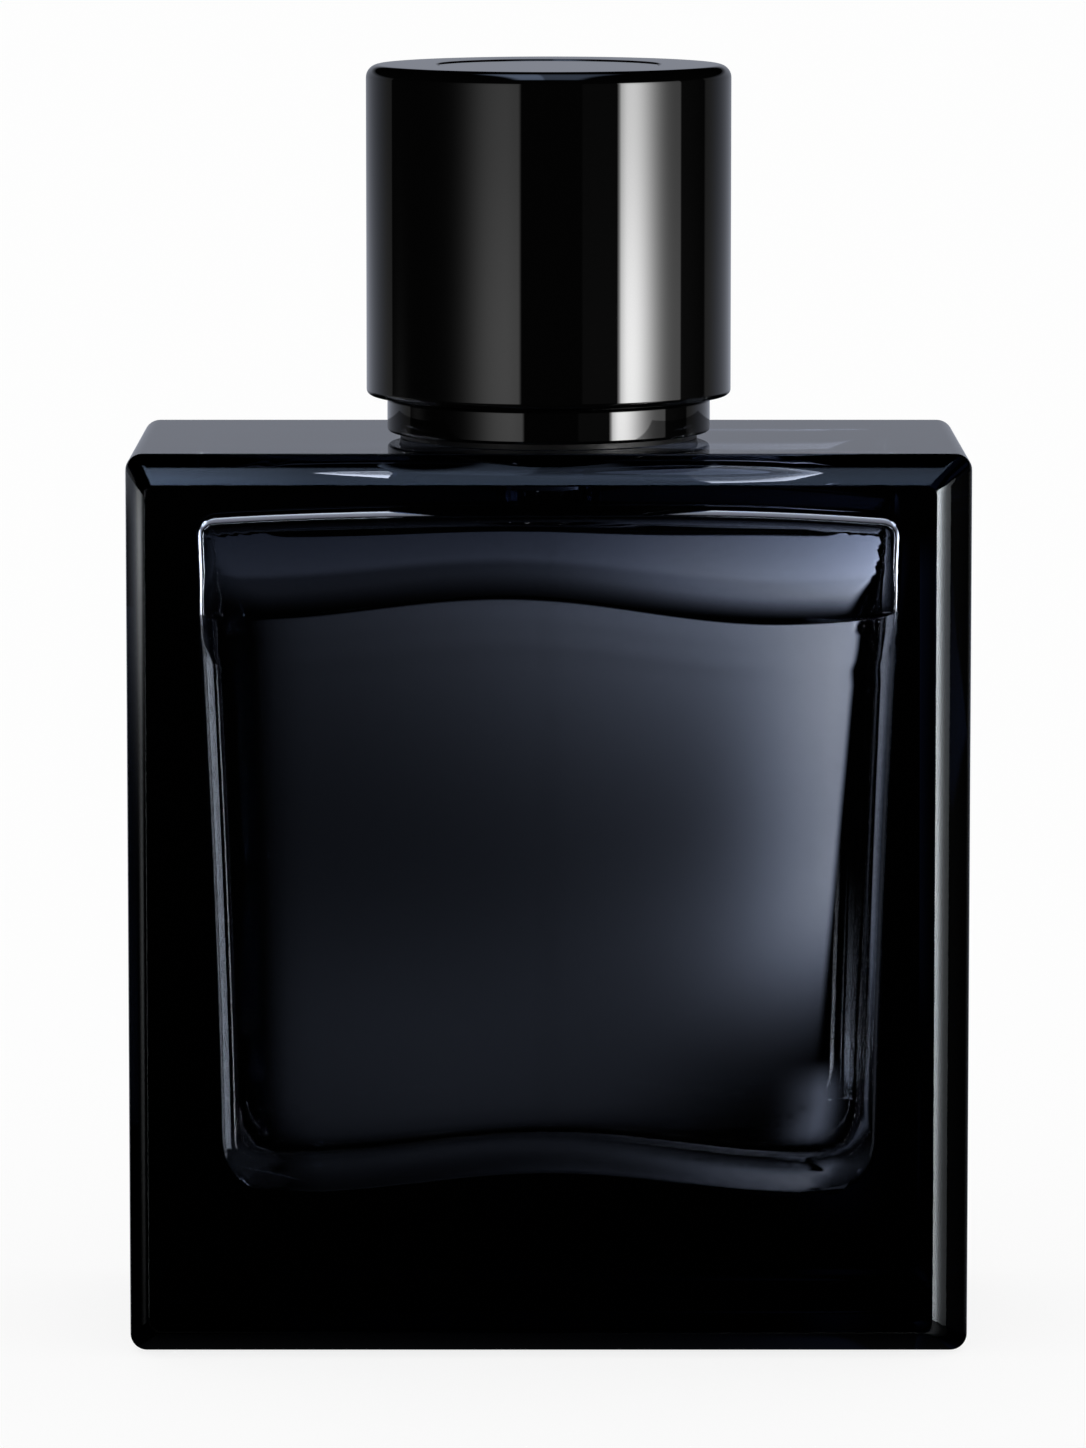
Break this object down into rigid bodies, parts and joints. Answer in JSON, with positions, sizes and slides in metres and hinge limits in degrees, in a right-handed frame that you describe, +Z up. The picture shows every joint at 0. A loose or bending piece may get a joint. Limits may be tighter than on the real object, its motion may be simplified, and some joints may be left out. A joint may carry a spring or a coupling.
{
  "type": "spray bottle",
  "caption": "Square bevelled thick-glass spray bottle for aftershave, with a crimped pump, a gloss collar and a tall round pull-off cap.",
  "frame": {"origin": "centre of the base, on the surface that the bottle stands on", "axes": "+Z up through the neck and the cap, -Y towards the viewer out of the large front face, +X to the viewer's right"},
  "size_m": [0.076, 0.041, 0.116],
  "materials": {
    "navy_glass": "thick moulded soda-lime glass, deep navy tint, fire-polished",
    "aftershave": "clear liquid with a blue tint",
    "gasket_rubber": "matt",
    "bare_aluminium": "drawn, bright",
    "natural_polypropylene": "moulded, unpigmented",
    "clear_tube": "extruded, clear",
    "stainless_steel": "drawn wire and ground ball",
    "white_polyethylene": "moulded",
    "grey_acetal": "moulded",
    "black_polypropylene": "moulded, fine satin",
    "black_sleeve": "drawn aluminium, black lacquer, gloss",
    "black_collar": "black lacquer, high gloss",
    "black_lacquer": "moulded, black lacquer, high gloss",
    "black_disc": "black lacquer, fine spun satin"
  },
  "bodies": {
    "bottle": {"glass_bottle": "navy_glass", "liquid": "aftershave", "neck_gasket": "gasket_rubber", "crimp_ferrule": "bare_aluminium", "pump_housing": "natural_polypropylene", "pump_gland": "natural_polypropylene", "dip_tube": "clear_tube", "main_spring": "stainless_steel", "collar_shell": "black_collar", "collar_insert": "black_polypropylene"},
    "ball": {"check_ball": "stainless_steel"},
    "stem": {"stem": "white_polyethylene", "stem_core": "grey_acetal"},
    "piston": {"piston": "white_polyethylene"},
    "actuator": {"actuator_core": "black_polypropylene", "actuator_sleeve": "black_sleeve", "nozzle_insert": "black_polypropylene"},
    "cap": {"cap_shell": "black_lacquer", "cap_liner": "black_polypropylene", "cap_disc": "black_disc"}
  },
  "joints": [
    {"name": "cap_lift", "type": "slide", "parent": "bottle", "child": "cap", "axis": [0, 0, 1], "range_m": [0, 0.045]},
    {"name": "actuator_press", "type": "slide", "parent": "bottle", "child": "stem", "axis": [0, 0, -1], "range_m": [0, 0.0045], "stiffness_N_per_m": 1500, "springref_m": -0.003, "deforming": ["main_spring"]},
    {"name": "piston_slip", "type": "slide", "parent": "stem", "child": "piston", "axis": [0, 0, 1], "range_m": [0, 0.0008]},
    {"name": "actuator_swivel", "type": "hinge", "parent": "stem", "child": "actuator", "pos_m": [0, 0, 0.1], "axis": [0, 0, 1], "continuous": true},
    {"name": "ball_lift", "type": "slide", "parent": "bottle", "child": "ball", "axis": [0, 0, 1], "range_m": [0, 0.0008]}
  ]
}
